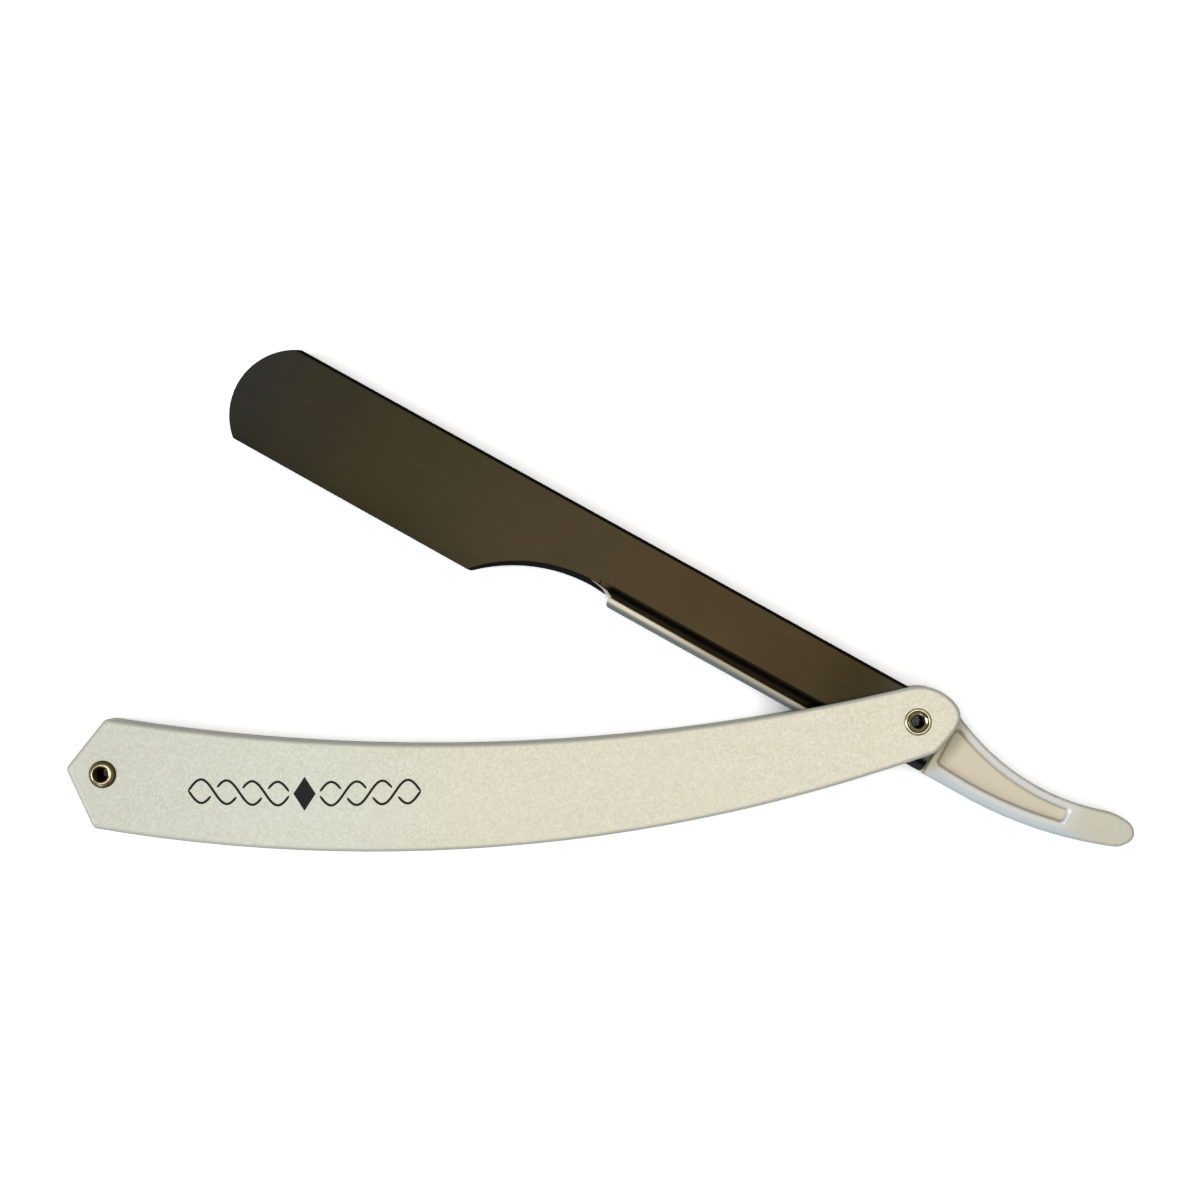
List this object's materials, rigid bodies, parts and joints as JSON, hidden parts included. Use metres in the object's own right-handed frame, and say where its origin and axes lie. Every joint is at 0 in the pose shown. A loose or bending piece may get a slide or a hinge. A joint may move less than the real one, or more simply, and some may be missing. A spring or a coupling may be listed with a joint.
{
  "type": "straight razor",
  "caption": "Folding barber's straight razor: curved two-scale handle, a folded sheet-metal blade shell and a swing-out half-blade carrier with a thumb tang.",
  "frame": {"origin": "on the pivot axis, half way through the razor's thickness", "axes": "+X along the handle from the tail eyelet to the pivot, +Y towards the side the arm opens on, +Z out of the front scale"},
  "size_m": [0.1811, 0.0938, 0.0101],
  "materials": {
    "pearl_plastic": "warm white moulded plastic with a fine pearl grain",
    "brass": "polished brass",
    "washer_steel": "bright steel",
    "dark_coated_steel": "satin black-brown coating on steel sheet",
    "carrier_plastic": "cream moulded plastic"
  },
  "bodies": {
    "handle": {"front_scale": "pearl_plastic", "back_scale": "pearl_plastic", "tail_spacer": "pearl_plastic", "tail_eyelet": "brass", "pivot_eyelet": "brass", "front_pivot_washer": "washer_steel", "back_pivot_washer": "washer_steel"},
    "shell": {"blade_shell": "dark_coated_steel"},
    "carrier": {"blade_carrier": "carrier_plastic"}
  },
  "joints": [
    {"name": "blade_fold", "type": "hinge", "parent": "handle", "child": "shell", "pos_m": [0, 0, 0], "axis": [0, 0, -1], "range_deg": [-30.68, 237.32]},
    {"name": "carrier_swing", "type": "hinge", "parent": "shell", "child": "carrier", "pos_m": [0, 0, 0], "axis": [0, 0, 1], "range_deg": [0, 35]}
  ]
}
